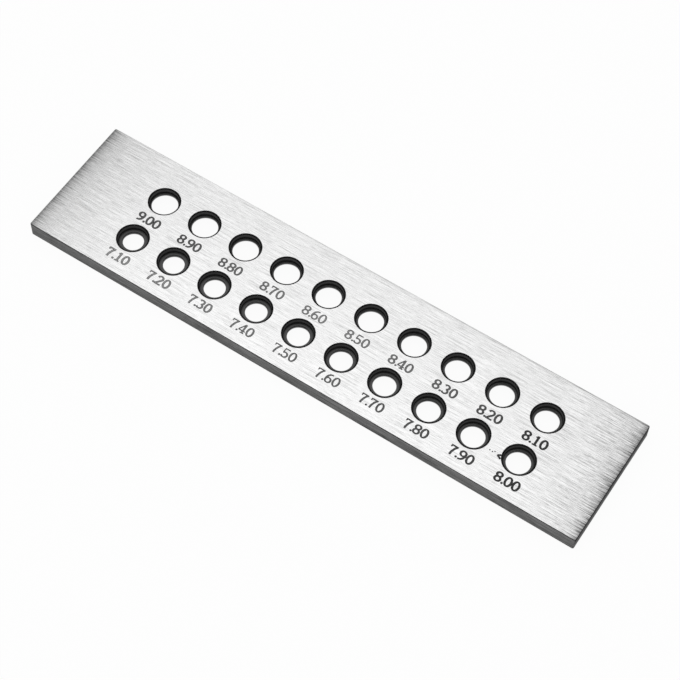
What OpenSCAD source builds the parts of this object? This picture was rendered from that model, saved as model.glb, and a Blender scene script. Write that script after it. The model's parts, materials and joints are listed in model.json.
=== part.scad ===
// Wire draw plate: a flat steel plate that carries two rows of round carbide dies.
// The plate lies on its back with the marked face up. Wire enters each die from
// the back and is pulled out through the marked face, so the lip in front of each
// die takes the pull.
// Die 1 is the smallest. The sizes grow along the lower row from left to right
// and go on along the upper row from right to left.

/* [Plate] */
// Thickness of the plate
plate_t = 6; // [5.5:0.1:9]
// From the left end to the centre of the first die
left_margin = 32.1; // [12:0.1:60]
// From the centre of the last die to the right end
right_margin = 28.5; // [12:0.1:60]
// From the front edge to the centres of the lower row
front_margin = 14.5; // [10:0.1:30]
// From the centres of the upper row to the far edge
far_margin = 15.6; // [10:0.1:30]
// Radius of the four upright corners
corner_r = 0.6; // [0.6:0.1:5]
// Bevel that breaks the edges of both faces
edge_bevel = 0.2; // [0.1:0.05:0.5]

/* [Rows of dies] */
// Dies in each of the two rows
dies_per_row = 10; // [2:1:12]
// Distance between neighbouring dies of a row
die_pitch = 16.6; // [15:0.1:24]
// Distance between the two rows
row_pitch = 17.9; // [15:0.1:26]
// Bore of the smallest die
smallest_bore = 7.1; // [5:0.05:8.5]
// How much each die is wider than the one before it
bore_step = 0.1; // [0.02:0.01:0.16]

/* [Die] */
// Carbide round the bore of the largest die, the same outside for all dies
die_wall = 2.5; // [2:0.1:3]
// Length of the cylindrical bearing that sizes the wire
bearing_l = 0.5; // [0.3:0.1:1]
// Length of the relief cone in front of the bearing
relief_l = 0.3; // [0.2:0.1:0.8]
// Half angle of the relief cone
relief_angle = 30; // [20:1:40]
// Length of the reduction cone behind the bearing
approach_l = 0.6; // [0.4:0.1:1.2]
// Half angle of the reduction cone
approach_angle = 12; // [6:1:14]
// Radius that blends the reduction cone into the entry bell
bell_blend_r = 2; // [0.5:0.1:3]
// Flat rim left round the entry bell of the largest die
bell_rim = 0.4; // [0.3:0.05:0.6]
// Bevel on both outer edges of a die
die_bevel = 0.15; // [0.05:0.05:0.25]

/* [Seat] */
// Thickness of the lip in front of a die
lip_t = 1.7; // [0.6:0.1:2.4]
// Width of the shoulder that the front of a die seats on
shoulder_w = 1.9; // [1.2:0.1:2]
// Width of the bevel round the mouth in the marked face
mouth_bevel_w = 0.6; // [0.2:0.05:0.8]
// Depth of the bevel round the mouth in the marked face
mouth_bevel_h = 0.25; // [0.1:0.05:0.4]
// Bevel round the seat in the back face
seat_bevel = 0.3; // [0.1:0.05:0.4]
// Clearance all round between a die and its seat
seat_gap = 0.02; // [0.01:0.01:0.05]
// How far the back of a die lies inside the back face
die_recess = 0.2; // [0.1:0.05:0.5]

/* [Hidden] */
$fn = 96;
CUT_OVER = 1;
BLEND_STEPS = 6;
BLEND_SHARE = 0.9;
STEEL = [0.80, 0.80, 0.80];
CARBIDE = [0.27, 0.27, 0.28];

die_count = 2 * dies_per_row;
plate_l = left_margin + (dies_per_row - 1) * die_pitch + right_margin;
plate_w = front_margin + row_pitch + far_margin;
die_d = smallest_bore + (die_count - 1) * bore_step + 2 * die_wall;
seat_r = die_d / 2 + seat_gap;
mouth_r = die_d / 2 - shoulder_w;
mouth_spread = CUT_OVER * mouth_bevel_w / mouth_bevel_h;
shoulder_z = plate_t - lip_t;
bearing_top_z = shoulder_z - relief_l;
bearing_end_z = bearing_top_z - bearing_l;
approach_end_z = bearing_end_z - approach_l;
approach_gain = approach_l * tan(approach_angle);
bell_gain = die_wall - bell_rim - approach_gain;
bell_angle = atan(bell_gain / (approach_end_z - die_recess));
// The blend takes up no more than its share of the reduction cone
blend_limit = BLEND_SHARE * approach_l / cos(approach_angle) / tan((bell_angle - approach_angle) / 2);
blend_r = min(bell_blend_r, blend_limit);

function two_digits(n) = n < 10 ? str("0", n) : str(n);
function die_name(n) = str("die_", two_digits(n));
function in_lower_row(n) = n <= dies_per_row;
function column(n) = in_lower_row(n) ? n - 1 : die_count - n;
function die_bore(n) = smallest_bore + (n - 1) * bore_step;
function die_place(n) = [
    left_margin + column(n) * die_pitch - plate_l / 2,
    front_margin + (in_lower_row(n) ? 0 : row_pitch) - plate_w / 2,
    0
];

// Section of a bar of the plate with all four edges bevelled
function bar_section(width) = [
    [-width / 2, edge_bevel],
    [-width / 2 + edge_bevel, 0],
    [width / 2 - edge_bevel, 0],
    [width / 2, edge_bevel],
    [width / 2, plate_t - edge_bevel],
    [width / 2 - edge_bevel, plate_t],
    [-width / 2 + edge_bevel, plate_t],
    [-width / 2, plate_t - edge_bevel]
];

// Half section of an upright corner of the plate, round its own axis
function corner_section() = [
    [0, 0],
    [corner_r - edge_bevel, 0],
    [corner_r, edge_bevel],
    [corner_r, plate_t - edge_bevel],
    [corner_r - edge_bevel, plate_t],
    [0, plate_t]
];

// Half section of the stepped hole that a die is pressed into from the back
function seat_section() = [
    [0, -CUT_OVER],
    [seat_r + seat_bevel + CUT_OVER, -CUT_OVER],
    [seat_r, seat_bevel],
    [seat_r, shoulder_z],
    [mouth_r, shoulder_z],
    [mouth_r, plate_t - mouth_bevel_h],
    [mouth_r + mouth_bevel_w + mouth_spread, plate_t + CUT_OVER],
    [0, plate_t + CUT_OVER]
];

// Arc that rounds the corner between two walls of a bore, whose half angles are a1 and a2
function blend_arc(corner, a1, a2, r) =
    let (
        setback = r * tan((a2 - a1) / 2),
        centre = corner + setback * [-sin(a1), cos(a1)] + r * [cos(a1), sin(a1)]
    )
    [for (i = [0 : BLEND_STEPS])
        let (a = a1 + (a2 - a1) * i / BLEND_STEPS)
        centre - r * [cos(a), sin(a)]
    ];

// Half section of a die: relief, bearing, reduction cone and entry bell, from front to back
function die_section(bore) =
    let (
        outer = die_d / 2,
        bearing_r = bore / 2,
        approach_r = bearing_r + approach_gain
    )
    concat(
        [
            [outer - die_bevel, die_recess],
            [outer, die_recess + die_bevel],
            [outer, shoulder_z - die_bevel],
            [outer - die_bevel, shoulder_z],
            [bearing_r + relief_l * tan(relief_angle), shoulder_z],
            [bearing_r, bearing_top_z],
            [bearing_r, bearing_end_z]
        ],
        blend_arc([approach_r, approach_end_z], approach_angle, bell_angle, blend_r),
        [[approach_r + bell_gain, die_recess]]
    );

// Plate before its seats are bored: two crossing bars and four round corners
module blank() {
    corner_x = plate_l / 2 - corner_r;
    corner_y = plate_w / 2 - corner_r;
    rotate([90, 0, 90])
        linear_extrude(2 * corner_x, center = true)
            polygon(bar_section(plate_w));
    rotate([90, 0, 0])
        linear_extrude(2 * corner_y, center = true)
            polygon(bar_section(plate_l));
    for (x = [-corner_x, corner_x], y = [-corner_y, corner_y])
        translate([x, y, 0])
            rotate_extrude()
                polygon(corner_section());
}

module plate() {
    color(STEEL)
        difference() {
            blank();
            for (n = [1 : die_count])
                translate(die_place(n))
                    rotate_extrude()
                        polygon(seat_section());
        }
}

module die(n) {
    color(CARBIDE)
        translate(die_place(n))
            rotate_extrude()
                polygon(die_section(die_bore(n)));
}

plate();
for (n = [1 : die_count])
    die(n);
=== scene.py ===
"""Wire draw plate: a brushed steel plate with twenty carbide dies, lying on a pale floor."""
import json
import math

import bmesh
import bpy
from mathutils import Matrix, Vector
from mathutils.geometry import delaunay_2d_cdt


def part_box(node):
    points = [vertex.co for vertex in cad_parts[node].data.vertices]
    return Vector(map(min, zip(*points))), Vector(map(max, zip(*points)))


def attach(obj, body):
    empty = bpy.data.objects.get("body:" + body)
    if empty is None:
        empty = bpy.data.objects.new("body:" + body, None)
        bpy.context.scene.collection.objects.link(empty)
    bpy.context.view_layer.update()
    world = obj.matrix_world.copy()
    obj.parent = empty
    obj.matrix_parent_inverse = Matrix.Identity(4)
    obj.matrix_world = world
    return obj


MM = 0.001
WHITE = (1, 1, 1, 1)

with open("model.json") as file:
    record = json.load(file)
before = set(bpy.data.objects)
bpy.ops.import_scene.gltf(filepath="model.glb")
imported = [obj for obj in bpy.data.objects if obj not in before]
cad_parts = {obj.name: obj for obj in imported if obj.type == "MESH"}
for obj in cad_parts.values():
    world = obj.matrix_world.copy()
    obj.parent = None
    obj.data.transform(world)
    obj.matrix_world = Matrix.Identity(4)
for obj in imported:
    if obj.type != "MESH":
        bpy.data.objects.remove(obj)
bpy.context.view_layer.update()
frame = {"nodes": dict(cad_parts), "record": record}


# Sizes that the frame gives, in metres
def middle(node):
    """Middle of a node's box."""
    low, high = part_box(node)
    return (low + high) / 2


PLATE_LOW, PLATE_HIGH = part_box("plate")
HALF_LENGTH = PLATE_HIGH.x
FACE_Z = PLATE_HIGH.z
MID_Z = FACE_Z / 2
BORES = [m for m in frame["record"]["mounts"] if m["kind"] == "bore"]
BEARING_TOP = BORES[0]["pos_m"][2] + BORES[0]["dims"]["length_mm"] * MM / 2
DIES_PER_ROW = len(BORES) // 2
FIRST_DIE = middle("die_01")
LAST_DIE_X = middle(f"die_{DIES_PER_ROW}").x
DIE_PITCH = middle("die_02").x - FIRST_DIE.x
ROW_PITCH = middle(f"die_{len(BORES)}").y - FIRST_DIE.y
DIE_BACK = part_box("die_01")[0].z
DIE_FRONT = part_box("die_01")[1].z

# Steel of the plate: how bright each kind of surface is
FACE_TONE = 0.86
# Walls: darker than the faces by their own ground finish and by painted shade
LONG_WALL_TONE = 0.195
END_WALL_TONE = 0.14
# Bevels: painted shade on most of them and a painted highlight on the far and left ones
PAINTED_SHADE_BEVEL_TONE = 0.05
PAINTED_HIGHLIGHT_BEVEL_TONE = 0.55
# Mouths: painted shade on their walls, darkest round their edge
MOUTH_PAINTED_SHADE_TONE = 0.09
MOUTH_EDGE_PAINTED_SHADE_TONE = 0.02
# Painted shade at the foot of each mouth's wall, on the steel and on the die
FOOT_PAINTED_SHADE_TONE = 0.015

# Steel of the plate: where painted shade darkens it, and by what share
# Painted shade: the face darker towards the far edge, where the light falls off
FACE_PAINTED_SHADE_FALL = 0.042
# Painted shade at both ends of the faces: a sharp band and a softer, wider one, stronger at the
# left end, with a ragged edge from the brushing
END_PAINTED_SHADE = 0.56
END_PAINTED_SHADE_FADE = 2 * MM
END_SOFT_PAINTED_SHADE = 0.2
LEFT_END_SOFT_PAINTED_SHADE = 0.29
END_SOFT_PAINTED_SHADE_FADE = 12 * MM
END_RAGGED = 0.8 * MM
# Painted shade: a dark line along the far edge of the faces, stronger towards the right
FAR_LINE_PAINTED_SHADE = 0.9
FAR_LINE_PAINTED_SHADE_FADE = 0.4 * MM
# Painted shade on the walls: the long ones darker towards the back, the ends darker towards the
# face
LONG_WALL_PAINTED_SHADE_FALL = 0.18
END_WALL_PAINTED_SHADE_FALL = 0.65

# Steel of the plate: where each kind of surface ends
FACE_SKIN = 0.01 * MM
BEVEL_DEPTH = 0.2 * MM
MOUTH_REACH = 8 * MM
MOUTH_EDGE_DEPTH = 0.27 * MM
MOUTH_R = 5.1 * MM
FOOT_REACH = 0.4 * MM

# Steel of the plate: gloss
STEEL_ROUGHNESS = 0.25
LINE_ROUGHNESS = 0.1
WALL_ROUGHNESS = 0.65
STEEL_ANISOTROPY = 0.9
STEEL_GRAZING_TINT = 0.6

# Brushing on the faces, which grows stronger towards both ends, and on the walls
LINE_LENGTH = 11 * MM
LINE_WIDTH = 0.22 * MM
LINE_CONTRAST = 0.4
LEFT_LINE_CONTRAST = 0.15
LEFT_LINE_FADE = 6 * MM
RIGHT_LINE_CONTRAST = 0.58
RIGHT_LINE_FADE = 14 * MM
WALL_LINE_LENGTH = 16 * MM
WALL_LINE_WIDTH = 0.45 * MM
WALL_LINE_CONTRAST = 0.6
LINE_BUMP = 0.004 * MM
# Broad lines and fine ones: how many times shorter and narrower, and the detail of their noise
LINE_LAYERS = ((1.0, 1.0, 1.0), (5, 3.1, 2.0))
LINE_NOISE_ROUGHNESS = 0.6
# Sum of both layers where the lines count as 0 and where they count as 1
LINE_LOW, LINE_HIGH = 0.6, 1.4

# Carbide of the dies
# Carbide tones: its own dark grey, darkened further as painted shade inside the holes
SATIN_TONE = 0.095
POLISHED_TONE = 0.035
SATIN_ROUGHNESS = 0.36
POLISHED_ROUGHNESS = 0.14
BACK_SKIN = 0.05 * MM
LAP_LENGTH = 3 * MM
LAP_WIDTH = 0.12 * MM
LAP_CONTRAST = 0.15
LAP_ROUGHNESS = 0.08

# Etched numbers: sizes in millimetres, angles in degrees
DIGIT_W = 2.65
DIGIT_H = 3.7
DIGIT_ADVANCE = 2.72
POINT_ADVANCE = 3.5
POINT_X = 1.9
POINT_R = 0.42
# Widths of a pen in upright and in level strokes
BROAD_PEN = (0.82, 0.58)
FINE_PEN = (0.55, 0.5)
ARC_STEP = 12
ETCH_RIM = 0.16
ETCH_WORN = 0.08
ETCH_PROUD = 0.01
ETCH_DEPTH = 0.03
CORE_PROUD = 0.005
MARK_SPREAD = (1.004, 0.971)
MARK_OFFSET = (0.48, -8.86)
WELD = 0.02
SAME_SPOT = WELD / 10
# Kind of triangulation that fills the whole hull of its points
WHOLE_HULL = 0

# Etched numbers: finish
# Dark rim round each stroke: painted shade, standing in for the shaded walls of an etched recess
RIM_PAINTED_SHADE_TONE = 0.009
CORE_TONE = 0.042
PALER_LEFT = 6.5
PALER_MIDDLE = 6
PALER_FAR_LEFT = 1.6
ROW_BORDER = -9 * MM
ETCH_LINE_LENGTH = LINE_LENGTH / 4
ETCH_LINE_WIDTH = LINE_WIDTH / 2
ETCH_CONTRAST = 0.4
ETCH_METALLIC = 0.7
ETCH_ROUGHNESS = 0.55

# Nick beside the mouth of one die and specks that lead up to it, in millimetres from its axis
NICK_DIE = "die_10"
NICK_TIP = (-6.5, -2.3)
NICK_ENDS = ((-5.4, -1.7), (-5.0, -3.05))
NICK_PEN = (0.65, 0.65)
SPECKS = ((-9.37, -2.03), (-8.41, -2.11), (-7.76, -1.68))
SPECK_R = 0.22

# Stage, in metres, with the lens and its sensor in millimetres
FLOOR_SIZE = 12
FLOOR_TONE = 0.85
FLOOR_ROUGHNESS = 0.9
FLOOR_GLOW = 0.95
FLOOR_GAP = 0.05 * MM
WORLD_LEVEL = 0.78
PANEL_PLACE = Vector((-0.148, -0.09, 0.54))
PANEL_SIZE = (0.42, 0.9)
PANEL_RADIANCE = 0.4
CAMERA_PLACE = Vector((0.17303, -0.27595, 0.53701))
CAMERA_TARGET = Vector((0.00426, -0.00110, 0))
CAMERA_ROLL = math.radians(1.972)
CAMERA_LENS = 101.39
CAMERA_NEAR = 0.01
SENSOR_WIDTH = 36


# Short ways to wire nodes
def grey(tone):
    """A colour without hue."""
    return (tone, tone, tone, 1)


def feed(tree, socket, value):
    """Links a socket to the value, or sets the value where it is a constant."""
    if isinstance(value, bpy.types.NodeSocket):
        tree.links.new(value, socket)
    else:
        socket.default_value = value


def set_inputs(tree, node, inputs):
    """Feeds the named inputs of a node."""
    for name, value in inputs.items():
        feed(tree, node.inputs[name], value)


def add_node(tree, kind, inputs=None, **settings):
    """A new node with its settings and inputs."""
    node = tree.nodes.new(kind)
    for name, value in settings.items():
        setattr(node, name, value)
    set_inputs(tree, node, inputs or {})
    return node


def calc(tree, operation, *values):
    """Result of a math node."""
    node = add_node(tree, "ShaderNodeMath", operation=operation)
    for socket, value in zip(node.inputs, values):
        feed(tree, socket, value)
    return node.outputs["Value"]


def blend(tree, factor, first, second):
    """The first value where the factor is 0 and the second where it is 1."""
    inputs = {"Factor": factor, "A": first, "B": second}
    return add_node(tree, "ShaderNodeMix", inputs, data_type="FLOAT").outputs["Result"]


def fade(tree, gap, reach):
    """1 at no gap, falling away over the reach."""
    return calc(tree, "EXPONENT", calc(tree, "DIVIDE", gap, -reach))


def vary(tree, tone, lines, contrast):
    """A tone made lighter and darker by lines that run from 0 to 1, and at most white."""
    swing = calc(tree, "MULTIPLY_ADD", lines, 2.0, -1.0)
    gain = calc(tree, "MULTIPLY_ADD", swing, contrast, 1.0)
    return calc(tree, "MINIMUM", calc(tree, "MULTIPLY", tone, gain), 1.0)


def place_on_part(tree):
    """Place on the part as a vector, with its three parts."""
    vector = add_node(tree, "ShaderNodeTexCoord").outputs["Object"]
    split = add_node(tree, "ShaderNodeSeparateXYZ", {"Vector": vector})
    return vector, split.outputs["X"], split.outputs["Y"], split.outputs["Z"]


def new_group(name, inputs, outputs):
    """An empty shader group with float sockets, apart from an input called Vector."""
    tree = bpy.data.node_groups.new(name, "ShaderNodeTree")
    for socket in inputs:
        kind = "NodeSocketVector" if socket == "Vector" else "NodeSocketFloat"
        tree.interface.new_socket(socket, in_out="INPUT", socket_type=kind)
    for socket in outputs:
        tree.interface.new_socket(socket, in_out="OUTPUT", socket_type="NodeSocketFloat")
    given, result = add_node(tree, "NodeGroupInput"), add_node(tree, "NodeGroupOutput")
    return tree, given.outputs, result.inputs


def use_group(tree, group, **inputs):
    """Outputs of a group that is fed with these inputs."""
    return add_node(tree, "ShaderNodeGroup", inputs, node_tree=group).outputs


def new_material(name):
    """A new material, its node tree and its shader."""
    material = bpy.data.materials.new(name)
    material.use_nodes = True
    tree = material.node_tree
    return material, tree, tree.nodes["Principled BSDF"]


# Patterns that several materials share
def brush_lines_group():
    """Ragged lines left by a belt or a lap, from 0 to 1, with finer lines inside the broad ones."""
    tree, given, result = new_group(
        "brush_lines", ["Along", "Across", "Length", "Width"], ["Lines"])
    along = calc(tree, "DIVIDE", given["Along"], given["Length"])
    across = calc(tree, "DIVIDE", given["Across"], given["Width"])
    layers = []
    for shorter, finer, detail in LINE_LAYERS:
        spot = add_node(tree, "ShaderNodeCombineXYZ", {
            "X": calc(tree, "MULTIPLY", along, shorter),
            "Y": calc(tree, "MULTIPLY", across, finer)})
        noise = add_node(tree, "ShaderNodeTexNoise", {
            "Vector": spot.outputs["Vector"], "Scale": 1.0, "Detail": detail,
            "Roughness": LINE_NOISE_ROUGHNESS}, noise_dimensions="2D")
        layers.append(noise.outputs["Fac"])
    spread = add_node(tree, "ShaderNodeMapRange", {
        "Value": calc(tree, "ADD", *layers), "From Min": LINE_LOW, "From Max": LINE_HIGH})
    feed(tree, result["Lines"], spread.outputs["Result"])
    return tree


def die_axis_group():
    """Distance and turn round the axis of the nearest die."""
    tree, given, result = new_group("die_axis", ["Vector"], ["Distance", "Turn"])
    split = add_node(tree, "ShaderNodeSeparateXYZ", {"Vector": given["Vector"]})
    from_first = calc(tree, "SUBTRACT", split.outputs["X"], FIRST_DIE.x)
    column = calc(tree, "ROUND", calc(tree, "DIVIDE", from_first, DIE_PITCH))
    column = calc(tree, "MINIMUM", calc(tree, "MAXIMUM", column, 0.0), DIES_PER_ROW - 1.0)
    dx = calc(tree, "SUBTRACT", from_first, calc(tree, "MULTIPLY", column, DIE_PITCH))
    from_row = calc(tree, "SUBTRACT", split.outputs["Y"], FIRST_DIE.y)
    row = calc(tree, "GREATER_THAN", from_row, ROW_PITCH / 2)
    dy = calc(tree, "SUBTRACT", from_row, calc(tree, "MULTIPLY", row, ROW_PITCH))
    square = calc(tree, "ADD", calc(tree, "MULTIPLY", dx, dx), calc(tree, "MULTIPLY", dy, dy))
    feed(tree, result["Distance"], calc(tree, "SQRT", square))
    feed(tree, result["Turn"], calc(tree, "ARCTAN2", dy, dx))
    return tree


BRUSH_LINES = brush_lines_group()
DIE_AXIS = die_axis_group()


def brush_lines(tree, along, across, length, width):
    """Brushing in lines of this length and width, from 0 to 1."""
    return use_group(tree, BRUSH_LINES, Along=along, Across=across,
                     Length=length, Width=width)["Lines"]


# Steel
def face_tone(tree, x, y, end_gap, lines):
    """Brushed faces: painted shade makes them darker towards the far edge and the ends, where the
    lines are stronger.
    """
    ragged_gap = calc(tree, "MULTIPLY_ADD", calc(tree, "SUBTRACT", lines, 0.5), END_RAGGED, end_gap)
    # Painted shade at both ends
    soft_end_shade = blend(tree, calc(tree, "LESS_THAN", x, 0.0), END_SOFT_PAINTED_SHADE, LEFT_END_SOFT_PAINTED_SHADE)
    painted_end_shade = calc(tree, "ADD",
                    calc(tree, "MULTIPLY", fade(tree, ragged_gap, END_PAINTED_SHADE_FADE), END_PAINTED_SHADE),
                    calc(tree, "MULTIPLY", fade(tree, ragged_gap, END_SOFT_PAINTED_SHADE_FADE), soft_end_shade))
    # Painted shade along the far edge, stronger towards the right
    far_gap = calc(tree, "SUBTRACT", PLATE_HIGH.y, y)
    far_shade_rightwards = calc(tree, "MULTIPLY_ADD", x, FAR_LINE_PAINTED_SHADE / 2 / HALF_LENGTH, FAR_LINE_PAINTED_SHADE / 2)
    far_painted_shade = calc(tree, "MULTIPLY", fade(tree, far_gap, FAR_LINE_PAINTED_SHADE_FADE), far_shade_rightwards)
    # Painted shade: the face darker towards the far edge
    tone = calc(tree, "MULTIPLY_ADD", y, -FACE_TONE * FACE_PAINTED_SHADE_FALL / PLATE_HIGH.y, FACE_TONE)
    for painted_shade_loss in (painted_end_shade, far_painted_shade):
        tone = calc(tree, "MULTIPLY", tone, calc(tree, "SUBTRACT", 1.0, painted_shade_loss))

    right_gap = calc(tree, "SUBTRACT", HALF_LENGTH, x)
    left_gap = calc(tree, "SUBTRACT", x, -HALF_LENGTH)
    contrast = LINE_CONTRAST
    for gap, reach, gain in ((right_gap, RIGHT_LINE_FADE, RIGHT_LINE_CONTRAST),
                             (left_gap, LEFT_LINE_FADE, LEFT_LINE_CONTRAST)):
        contrast = calc(tree, "MULTIPLY_ADD", fade(tree, gap, reach), gain, contrast)
    return vary(tree, tone, lines, contrast)


def wall_tone(tree, z, end_gap, lines):
    """Ground walls, darker partly by their own finish and partly by painted shade, which makes the
    long ones darker towards the back and the ends darker towards the face.
    """
    at_end = calc(tree, "LESS_THAN", end_gap, BEVEL_DEPTH)
    ground_and_shade = blend(tree, at_end, LONG_WALL_TONE, END_WALL_TONE)
    height = calc(tree, "MULTIPLY_ADD", z, 1 / MID_Z, -1.0)
    # Painted shade from the back to the face
    shade_slope = blend(tree, at_end, LONG_WALL_PAINTED_SHADE_FALL, -END_WALL_PAINTED_SHADE_FALL)
    return calc(tree, "MULTIPLY", vary(tree, ground_and_shade, lines, WALL_LINE_CONTRAST),
                calc(tree, "MULTIPLY_ADD", height, shade_slope, 1.0))


def bevel_tone(tree, x, y):
    """Bevelled edges: a painted highlight at the far edge and the left end, painted shade at the
    others.
    """
    at_far = calc(tree, "GREATER_THAN", y, PLATE_HIGH.y - BEVEL_DEPTH)
    at_left = calc(tree, "LESS_THAN", x, PLATE_LOW.x + BEVEL_DEPTH)
    # Painted highlight at the far edge and the left end
    painted_highlight = calc(tree, "MAXIMUM", at_far, at_left)
    return blend(tree, painted_highlight, PAINTED_SHADE_BEVEL_TONE, PAINTED_HIGHLIGHT_BEVEL_TONE)


def mouth_painted_shade(tree, z):
    """Mouths: painted shade, darkest round their edge and at the foot of their wall, where the die
    begins.
    """
    at_edge = calc(tree, "GREATER_THAN", z, FACE_Z - MOUTH_EDGE_DEPTH)
    # Painted shade at the foot of the wall
    foot_shade = fade(tree, calc(tree, "SUBTRACT", z, DIE_FRONT), FOOT_REACH)
    return blend(tree, at_edge, blend(tree, foot_shade, MOUTH_PAINTED_SHADE_TONE, FOOT_PAINTED_SHADE_TONE), MOUTH_EDGE_PAINTED_SHADE_TONE)


def steel():
    """Steel of the plate, each kind of surface in its own tone, with painted shade and painted
    highlights in it.
    """
    material, tree, shader = new_material("brushed_steel")
    vector, x, y, z = place_on_part(tree)
    lines = brush_lines(tree, x, y, LINE_LENGTH, LINE_WIDTH)
    wall_lines = brush_lines(tree, calc(tree, "ADD", x, y), z, WALL_LINE_LENGTH, WALL_LINE_WIDTH)
    end_gap = calc(tree, "SUBTRACT", HALF_LENGTH, calc(tree, "ABSOLUTE", x))
    from_middle = calc(tree, "ABSOLUTE", calc(tree, "SUBTRACT", z, MID_Z))
    from_axis = use_group(tree, DIE_AXIS, Vector=vector)["Distance"]
    on_bevel = calc(tree, "GREATER_THAN", from_middle, MID_Z - BEVEL_DEPTH)
    in_mouth = calc(tree, "LESS_THAN", from_axis, MOUTH_REACH)
    on_face = calc(tree, "GREATER_THAN", from_middle, MID_Z - FACE_SKIN)

    tone = wall_tone(tree, z, end_gap, wall_lines)
    tone = blend(tree, on_bevel, tone, bevel_tone(tree, x, y))
    # Painted shade in the mouths
    tone = blend(tree, in_mouth, tone, mouth_painted_shade(tree, z))
    tone = blend(tree, on_face, tone, face_tone(tree, x, y, end_gap, lines))
    brushed = calc(tree, "MULTIPLY_ADD", lines, LINE_ROUGHNESS, STEEL_ROUGHNESS)
    across_lines = add_node(tree, "ShaderNodeCombineXYZ", {
        "X": 0.0, "Y": on_face, "Z": calc(tree, "SUBTRACT", 1.0, on_face)})
    bump = add_node(tree, "ShaderNodeBump", {
        "Height": blend(tree, on_face, wall_lines, lines), "Strength": 1.0, "Distance": LINE_BUMP})
    set_inputs(tree, shader, {
        "Base Color": tone,
        "Metallic": 1.0,
        "Anisotropic": STEEL_ANISOTROPY,
        "Roughness": blend(tree, on_face, WALL_ROUGHNESS, brushed),
        "Specular Tint": grey(STEEL_GRAZING_TINT),
        "Tangent": across_lines.outputs["Vector"],
        "Normal": bump.outputs["Normal"]})
    return material


# Carbide and etched steel
def carbide():
    """Carbide of the dies: satin at front and back, polished from the bearing to the bell, both in
    carbide's own dark grey darkened further by painted shade.
    """
    material, tree, shader = new_material("sintered_carbide")
    vector, _, _, z = place_on_part(tree)
    axis = use_group(tree, DIE_AXIS, Vector=vector)
    along = calc(tree, "MULTIPLY", axis["Turn"], axis["Distance"])
    across = calc(tree, "ADD", z, axis["Distance"])
    lap = brush_lines(tree, along, across, LAP_LENGTH, LAP_WIDTH)
    below = calc(tree, "LESS_THAN", z, BEARING_TOP)
    above = calc(tree, "GREATER_THAN", z, DIE_BACK + BACK_SKIN)
    polished = calc(tree, "MULTIPLY", below, above)
    # Painted shade on the die face at the foot of the mouth's wall
    foot_shade = fade(tree, calc(tree, "SUBTRACT", MOUTH_R, axis["Distance"]), FOOT_REACH)
    foot_shade = calc(tree, "MULTIPLY", calc(tree, "MINIMUM", foot_shade, 1.0),
                calc(tree, "SUBTRACT", 1.0, below))
    shaded_satin = blend(tree, foot_shade, SATIN_TONE, FOOT_PAINTED_SHADE_TONE)
    # Both tones darker than carbide's own grey, as painted shade in the holes
    tone = blend(tree, polished, shaded_satin, POLISHED_TONE)
    rough = blend(tree, polished, SATIN_ROUGHNESS, POLISHED_ROUGHNESS)
    set_inputs(tree, shader, {
        "Base Color": vary(tree, tone, lap, LAP_CONTRAST),
        "Metallic": 1.0,
        "Roughness": calc(tree, "MULTIPLY_ADD", lap, LAP_ROUGHNESS, rough)})
    return material


def etching(name, steel_tone):
    """Etched steel, broken up by the brushing that runs over it.

    It is paler towards the left in the lower row, and towards the middle and the left in the upper.
    """
    material, tree, shader = new_material(name)
    _, x, y, _ = place_on_part(tree)
    lines = brush_lines(tree, x, y, ETCH_LINE_LENGTH, ETCH_LINE_WIDTH)
    from_right = calc(tree, "MULTIPLY_ADD", x, -0.5 / LAST_DIE_X, 0.5)
    from_end = calc(tree, "MULTIPLY_ADD", calc(tree, "ABSOLUTE", x), -1 / LAST_DIE_X, 1.0)
    in_upper_row = calc(tree, "GREATER_THAN", y, ROW_BORDER)
    lower_paler = calc(tree, "MULTIPLY", from_right, PALER_LEFT)
    upper_paler = calc(tree, "MAXIMUM", calc(tree, "MULTIPLY", from_end, PALER_MIDDLE),
                       calc(tree, "MULTIPLY", from_right, PALER_FAR_LEFT))
    paler = blend(tree, in_upper_row, lower_paler, upper_paler)
    gain = calc(tree, "MAXIMUM", calc(tree, "ADD", paler, 1.0), 1.0)
    tone = calc(tree, "MULTIPLY", gain, steel_tone)
    set_inputs(tree, shader, {
        "Base Color": vary(tree, tone, lines, ETCH_CONTRAST),
        "Metallic": ETCH_METALLIC,
        "Roughness": ETCH_ROUGHNESS})
    return material


# Short ways to make pieces
def mesh_from(bm, name, materials):
    """Mesh with the shape of a bmesh, which is freed."""
    mesh = bpy.data.meshes.new(name)
    bm.to_mesh(mesh)
    bm.free()
    for material in materials:
        mesh.materials.append(material)
    return mesh


def add_object(name, data):
    """A new object in the scene."""
    piece = bpy.data.objects.new(name, data)
    bpy.context.scene.collection.objects.link(piece)
    return piece


# Strokes of the numbers and of the nick
def arc(x, y, reach_x, reach_y, start, stop):
    """Points of an elliptic arc in a digit's box of 1 by 1, between two angles in degrees."""
    steps = max(2, round(abs(stop - start) / ARC_STEP))
    turns = [math.radians(start + (stop - start) * i / steps) for i in range(steps + 1)]
    return [(x + reach_x * math.cos(turn), y + reach_y * math.sin(turn)) for turn in turns]


def turned(strokes):
    """Strokes turned half round in their box."""
    return [(pen, [(1 - x, 1 - y) for x, y in points]) for pen, points in strokes]


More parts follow.
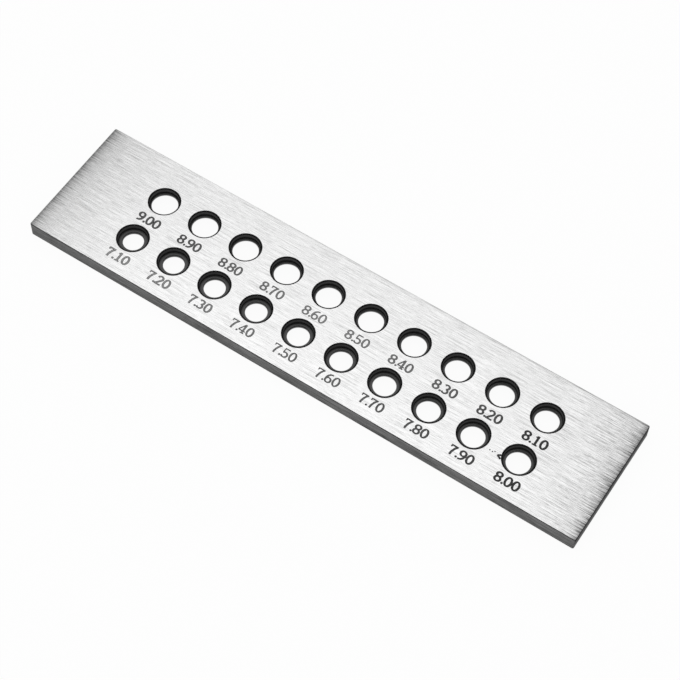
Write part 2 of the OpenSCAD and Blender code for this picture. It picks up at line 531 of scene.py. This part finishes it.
SIX = [(BROAD_PEN, arc(0.5, 0.31, 0.36, 0.24, 0, 360)),
       (BROAD_PEN, arc(0.72, 0.36, 0.58, 0.57, 178, 76))]
DIGITS = {
    "0": [(BROAD_PEN, arc(0.5, 0.5, 0.37, 0.43, 0, 360))],
    "1": [(BROAD_PEN, [(0.54, 0), (0.54, 1)]), (FINE_PEN, [(0.24, 0.80), (0.54, 0.95)]),
          (FINE_PEN, [(0.2, 0.056), (0.88, 0.056)])],
    "2": [(BROAD_PEN, arc(0.47, 0.70, 0.34, 0.23, 170, -38) + [(0.14, 0.07)]),
          (BROAD_PEN, [(0.04, 0.07), (0.92, 0.07)])],
    "3": [(BROAD_PEN, arc(0.46, 0.73, 0.32, 0.2, 155, -85)),
          (BROAD_PEN, arc(0.45, 0.29, 0.37, 0.22, 88, -155))],
    "4": [(BROAD_PEN, [(0.66, 0), (0.66, 1)]), (FINE_PEN, [(0.6, 0.97), (0.06, 0.3)]),
          (FINE_PEN, [(0.02, 0.28), (0.98, 0.28)]), (FINE_PEN, [(0.4, 0.056), (0.94, 0.056)])],
    "5": [(BROAD_PEN, [(0.14, 0.93), (0.88, 0.93)]), (FINE_PEN, [(0.22, 0.93), (0.17, 0.5)]),
          (BROAD_PEN, arc(0.45, 0.32, 0.38, 0.25, 140, -155))],
    "6": SIX,
    "7": [(BROAD_PEN, [(0.03, 0.93), (0.97, 0.93)]), (FINE_PEN, [(0.1, 0.99), (0.1, 0.74)]),
          (BROAD_PEN, arc(1.38, 0, 0.98, 1.1, 180, 124))],
    "8": [(BROAD_PEN, arc(0.5, 0.73, 0.34, 0.2, 0, 360)),
          (BROAD_PEN, arc(0.5, 0.29, 0.36, 0.22, 0, 360))],
    "9": turned(SIX),
}


def ribbon(points, pen):
    """Both edges of a stroke along these points, as wide as the pen is in each direction."""
    upright, level = pen
    closed = (points[0] - points[-1]).length < WELD
    pairs = []
    for i, point in enumerate(points):
        before = points[i - 1] if i else points[-2] if closed else point
        after = points[i + 1] if i + 1 < len(points) else points[1] if closed else point
        run = (after - before).normalized()
        half = (level + (upright - level) * abs(run.y)) / 2
        side = Vector((-run.y, run.x)) * half
        pairs.append((point + side, point - side))
    return pairs


def disc_pairs(centre, radius):
    """A round dot as a stroke from its middle."""
    rim = [centre + radius * Vector(p) for p in arc(0, 0, 1, 1, 0, 360)]
    return [(centre, point) for point in rim]


def slimmer(pen, inset):
    """A pen narrowed by the same inset on both sides."""
    return tuple(width - 2 * inset for width in pen)


def number_strokes(text, inset):
    """Edges of all strokes of a number such as 7.10, in millimetres, with its middle at 0, 0."""
    first, rest = text.split(".")
    starts = [0] + [POINT_ADVANCE + DIGIT_ADVANCE * i for i in range(len(rest))]
    middle_x = (starts[-1] + DIGIT_W) / 2
    point = Vector((DIGIT_W / 2 + POINT_X - middle_x, POINT_R - DIGIT_H / 2))
    strokes = [disc_pairs(point, POINT_R - inset)]
    for digit, start in zip(first + rest, starts):
        for pen, points in DIGITS[digit]:
            path = [Vector((start + x * DIGIT_W - middle_x, (y - 0.5) * DIGIT_H))
                    for x, y in points]
            strokes.append(ribbon(path, slimmer(pen, inset)))
    return strokes


def nick_strokes(inset):
    """Edges of a small nick that runs into the mouth of one die, with a few specks beside it."""
    tip = Vector(NICK_TIP)
    strokes = [ribbon([tip, Vector(end)], slimmer(NICK_PEN, inset)) for end in NICK_ENDS]
    return strokes + [disc_pairs(Vector(speck), SPECK_R - inset) for speck in SPECKS]


# Etched pieces
def add_layer(bm, strokes, finish, height):
    """A low layer that covers the strokes once, also where strokes cross."""
    points, quads = [], []
    for pairs in strokes:
        start = len(points)
        points += [point for pair in pairs for point in pair]
        quads += [[i, i + 1, i + 3, i + 2] for i in range(start, len(points) - 2, 2)]
    spots, _, triangles, _, _, sources = delaunay_2d_cdt(points, [], quads, WHOLE_HULL, SAME_SPOT)
    verts = [bm.verts.new((spot.x, spot.y, 0)) for spot in spots]
    covered = [triangle for triangle, source in zip(triangles, sources) if source]
    faces = [bm.faces.new([verts[i] for i in triangle]) for triangle in covered]
    for face in faces:
        face.material_index = finish
    bmesh.ops.delete(bm, geom=[v for v in verts if not v.link_faces], context="VERTS")
    raised = bmesh.ops.extrude_face_region(bm, geom=faces, use_keep_orig=True)["geom"]
    raised_verts = [item for item in raised if isinstance(item, bmesh.types.BMVert)]
    bmesh.ops.translate(bm, vec=(0, 0, height), verts=raised_verts)


def etched_piece(name, rim, core, centre, finishes):
    """Strokes etched in the marked face: a rim round each one, dark with painted shade, and a
    lighter core.
    """
    bm = bmesh.new()
    add_layer(bm, rim, 0, ETCH_DEPTH)
    add_layer(bm, core, 1, ETCH_DEPTH + CORE_PROUD)
    bmesh.ops.scale(bm, vec=(MM, MM, MM), verts=bm.verts[:])
    bottom = FACE_Z + (ETCH_PROUD - ETCH_DEPTH) * MM
    bmesh.ops.translate(bm, vec=(centre.x, centre.y, bottom), verts=bm.verts[:])
    bmesh.ops.recalc_face_normals(bm, faces=bm.faces[:])
    piece = add_object(name, mesh_from(bm, name, finishes))
    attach(piece, "root")


def etch_nick(finishes):
    """The nick beside one die."""
    etched_piece("nick", nick_strokes(0), nick_strokes(ETCH_RIM), middle(NICK_DIE), finishes)


def etch_numbers(finishes):
    """Beside each die, the wire size that its bore draws to.

    The strokes are slimmer towards the middle of the plate.
    """
    for bore in BORES:
        x, y, _ = bore["pos_m"]
        centre = Vector((x * MARK_SPREAD[0] + MARK_OFFSET[0] * MM,
                         y * MARK_SPREAD[1] + MARK_OFFSET[1] * MM))
        size = f"{2 * bore['dims']['r_mm']:.2f}"
        worn = ETCH_WORN * (1 - abs(x / LAST_DIE_X))
        rim, core = number_strokes(size, worn), number_strokes(size, worn + ETCH_RIM)
        etched_piece("mark_" + size.replace(".", "_"), rim, core, centre, finishes)


# Dress the frame
def dress(node, material):
    """Gives a node its only material."""
    slots = frame["nodes"][node].data.materials
    slots.clear()
    slots.append(material)


def dress_frame():
    """Steel for the plate and carbide for the dies."""
    steel_material, carbide_material = steel(), carbide()
    for node in frame["nodes"]:
        dress(node, steel_material if node == "plate" else carbide_material)


# Stage
def floor():
    """A wide floor that looks nearly white to the camera and in reflections."""
    bm = bmesh.new()
    bmesh.ops.create_grid(bm, x_segments=1, y_segments=1, size=FLOOR_SIZE / 2)
    bmesh.ops.translate(bm, vec=(0, 0, -FLOOR_GAP), verts=bm.verts[:])
    material, tree, shader = new_material("pale_floor")
    set_inputs(tree, shader, {"Base Color": grey(FLOOR_TONE), "Roughness": FLOOR_ROUGHNESS})
    rays = add_node(tree, "ShaderNodeLightPath").outputs
    seen = calc(tree, "MAXIMUM", rays["Is Camera Ray"],
                calc(tree, "MAXIMUM", rays["Is Glossy Ray"], rays["Is Transmission Ray"]))
    glow = add_node(tree, "ShaderNodeEmission", {"Color": WHITE, "Strength": 1.0})
    both = add_node(tree, "ShaderNodeMixShader", {"Fac": calc(tree, "MULTIPLY", seen, FLOOR_GLOW)})
    feed(tree, both.inputs[1], shader.outputs["BSDF"])
    feed(tree, both.inputs[2], glow.outputs["Emission"])
    feed(tree, tree.nodes["Material Output"].inputs["Surface"], both.outputs["Shader"])
    piece = add_object("floor", mesh_from(bm, "floor", [material]))


def light():
    """An even pale room, and one large panel overhead that the marked face mirrors."""
    world = bpy.data.worlds.new("pale_room")
    world.use_nodes = True
    background = world.node_tree.nodes["Background"]
    set_inputs(world.node_tree, background, {"Color": WHITE, "Strength": WORLD_LEVEL})
    bpy.context.scene.world = world
    panel = bpy.data.lights.new("panel", "AREA")
    panel.shape = "RECTANGLE"
    panel.size, panel.size_y = PANEL_SIZE
    panel.energy = PANEL_RADIANCE * math.pi * PANEL_SIZE[0] * PANEL_SIZE[1]
    lamp = add_object("panel", panel)
    lamp.location = PANEL_PLACE
    lamp.visible_camera = False


def camera():
    """The photo's view."""
    data = bpy.data.cameras.new("camera")
    data.lens = CAMERA_LENS
    data.sensor_width = SENSOR_WIDTH
    data.clip_start = CAMERA_NEAR
    turn = (CAMERA_TARGET - CAMERA_PLACE).to_track_quat("-Z", "Y").to_matrix().to_4x4()
    roll = Matrix.Rotation(CAMERA_ROLL, 4, "Z")
    piece = add_object("camera", data)
    piece.matrix_world = Matrix.Translation(CAMERA_PLACE) @ turn @ roll
    bpy.context.scene.camera = piece


camera()
floor()
light()
dress_frame()
# The rim's dark tone is painted shade
etched = [etching("etched_rim_painted_shade", RIM_PAINTED_SHADE_TONE), etching("etched_floor", CORE_TONE)]
etch_numbers(etched)
etch_nick(etched)
bpy.context.scene.view_settings.view_transform = "Standard"
